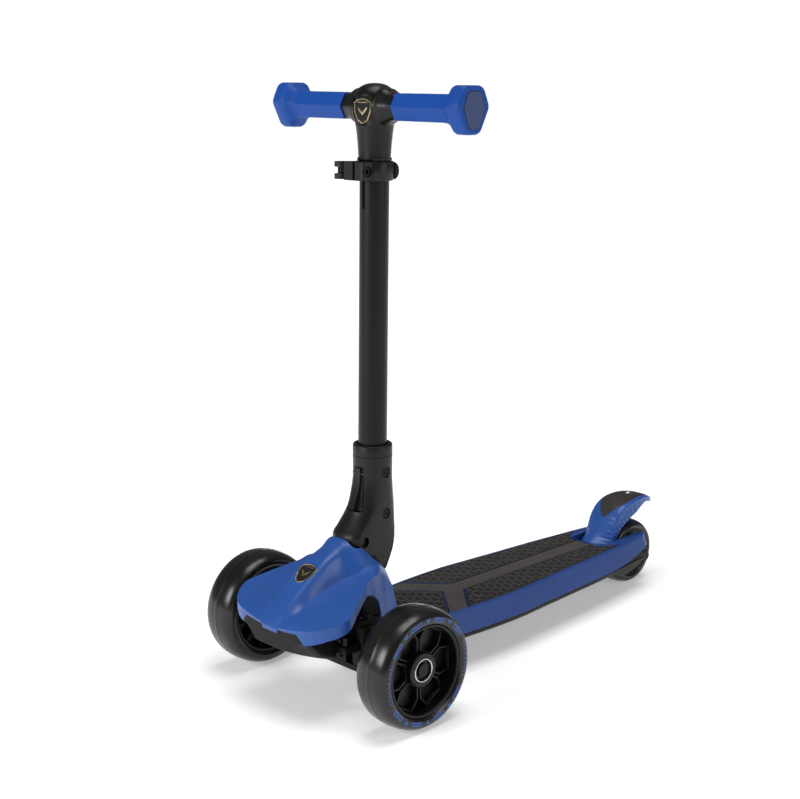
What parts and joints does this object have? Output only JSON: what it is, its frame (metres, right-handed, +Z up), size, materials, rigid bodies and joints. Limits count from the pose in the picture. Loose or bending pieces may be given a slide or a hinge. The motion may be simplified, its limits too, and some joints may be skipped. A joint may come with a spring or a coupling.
{
  "type": "kick scooter",
  "caption": "Child's folding kick scooter: two steering front wheels, low treaded deck, telescopic T-bar with flared grips and a rear fender brake.",
  "frame": {"origin": "centre of the bounding box, on the ground", "axes": "+Y towards the rear wheel, +X to the rider's left, +Z up; the front wheels are at -Y"},
  "size_m": [0.2712, 0.605, 0.6025],
  "materials": {
    "blue_deck": "moulded polypropylene, satin",
    "blue_gloss": "moulded, glossy",
    "grip_blue": "soft moulded grip, satin",
    "black_plastic": "moulded nylon, satin",
    "black_gloss": "moulded, glossy",
    "hub": "moulded nylon",
    "strip": "smooth",
    "tread": "matt soft tread",
    "black_rubber": "matt",
    "tyre": "cast polyurethane, glossy",
    "stem_black": "satin black coating on aluminium",
    "inner_tube": "anodised",
    "bolt_steel": "zinc plated",
    "bearing": "polished",
    "ring": "bright trim ring",
    "badge": "plain stamped shield"
  },
  "bodies": {
    "deck": {"deck_shell": "blue_deck", "under_tray": "black_plastic", "tread_left": "tread", "tread_right": "tread", "tread_front": "tread", "centre_strip": "strip", "chassis": "black_plastic", "front_bumper": "black_plastic", "hood": "blue_gloss", "hood_badge": "badge", "fold_pin": "bolt_steel", "kingpin_left": "bolt_steel", "kingpin_right": "bolt_steel", "rear_axle": "bolt_steel", "brake_pin": "bolt_steel", "deck_screw_left": "bolt_steel", "deck_screw_right": "bolt_steel"},
    "neck": {"neck_shell": "black_plastic", "neck_bolt_upper": "bolt_steel", "neck_bolt_lower": "bolt_steel", "stem_tube": "stem_black", "clamp_collar": "black_gloss", "clamp_bolt": "bolt_steel", "clamp_pin": "bolt_steel", "release_pin": "bolt_steel"},
    "release": {"release_lever": "black_gloss"},
    "clamp": {"clamp_lever": "black_gloss"},
    "bar": {"inner_tube": "inner_tube", "handle_tube": "inner_tube", "t_bar": "black_gloss", "bar_badge": "badge", "grip_left": "grip_blue", "grip_right": "grip_blue", "grip_cap_left": "grip_blue", "grip_cap_right": "grip_blue"},
    "steer_l": {"knuckle_left": "black_plastic", "front_axle_left": "bolt_steel"},
    "steer_r": {"knuckle_right": "black_plastic", "front_axle_right": "bolt_steel"},
    "rod": {"tie_rod": "bolt_steel"},
    "wheel_l": {"front_tyre_left": "tyre", "front_hub_left": "hub", "hub_ring_left": "ring", "front_bearings_left": "bearing"},
    "wheel_r": {"front_tyre_right": "tyre", "front_hub_right": "hub", "hub_ring_right": "ring", "front_bearings_right": "bearing"},
    "wheel_rear": {"rear_tyre": "tyre", "rear_hub": "hub", "rear_bearing_left": "bearing", "rear_bearing_right": "bearing"},
    "brake": {"brake_fender": "blue_gloss", "brake_foot_pad": "tread", "brake_stud": "badge", "brake_shoe": "black_rubber"}
  },
  "joints": [
    {"name": "stem_fold", "type": "hinge", "parent": "deck", "child": "neck", "pos_m": [0, -0.1928, 0.1544], "axis": [-1, 0, 0], "range_deg": [0, 85]},
    {"name": "release_press", "type": "hinge", "parent": "neck", "child": "release", "pos_m": [0, -0.1828, 0.221], "axis": [-1, 0, 0], "range_deg": [0, 5], "stiffness_Nm_per_rad": 0.6, "springref_deg": -6.88},
    {"name": "clamp_open", "type": "hinge", "parent": "neck", "child": "clamp", "pos_m": [-0.0235, -0.18094, 0.52069], "axis": [0, 0.0154, 0.9999], "range_deg": [0, 120]},
    {"name": "height_slide", "type": "slide", "parent": "neck", "child": "bar", "axis": [0, 0.0154, 0.9999], "range_m": [0, 0.16]},
    {"name": "steer_left", "type": "hinge", "parent": "deck", "child": "steer_l", "pos_m": [0.056, -0.23, 0.06], "axis": [0, 0, 1], "range_deg": [-15, 15], "stiffness_Nm_per_rad": 4},
    {"name": "steer_right", "type": "hinge", "parent": "deck", "child": "steer_r", "pos_m": [-0.056, -0.23, 0.06], "axis": [0, 0, 1], "range_deg": [-15.5, 15.5]},
    {"name": "tie_rod_slide", "type": "slide", "parent": "deck", "child": "rod", "axis": [1, 0, 0], "range_m": [-0.0066, 0.0066]},
    {"name": "front_spin_left", "type": "hinge", "parent": "steer_l", "child": "wheel_l", "pos_m": [0.1153, -0.22, 0.06], "axis": [1, 0, 0], "continuous": true},
    {"name": "front_spin_right", "type": "hinge", "parent": "steer_r", "child": "wheel_r", "pos_m": [-0.1153, -0.22, 0.06], "axis": [1, 0, 0], "continuous": true},
    {"name": "rear_spin", "type": "hinge", "parent": "deck", "child": "wheel_rear", "pos_m": [0, 0.253, 0.0395], "axis": [1, 0, 0], "continuous": true},
    {"name": "brake_press", "type": "hinge", "parent": "deck", "child": "brake", "pos_m": [0, 0.193, 0.057], "axis": [-1, 0, 0], "range_deg": [0, 2.6], "stiffness_Nm_per_rad": 6, "springref_deg": -2.86}
  ],
  "couplings": [
    {"joint": "steer_right", "follows": "steer_left", "ratio": 1},
    {"joint": "tie_rod_slide", "follows": "steer_left", "m_per_rad": 0.0219}
  ]
}
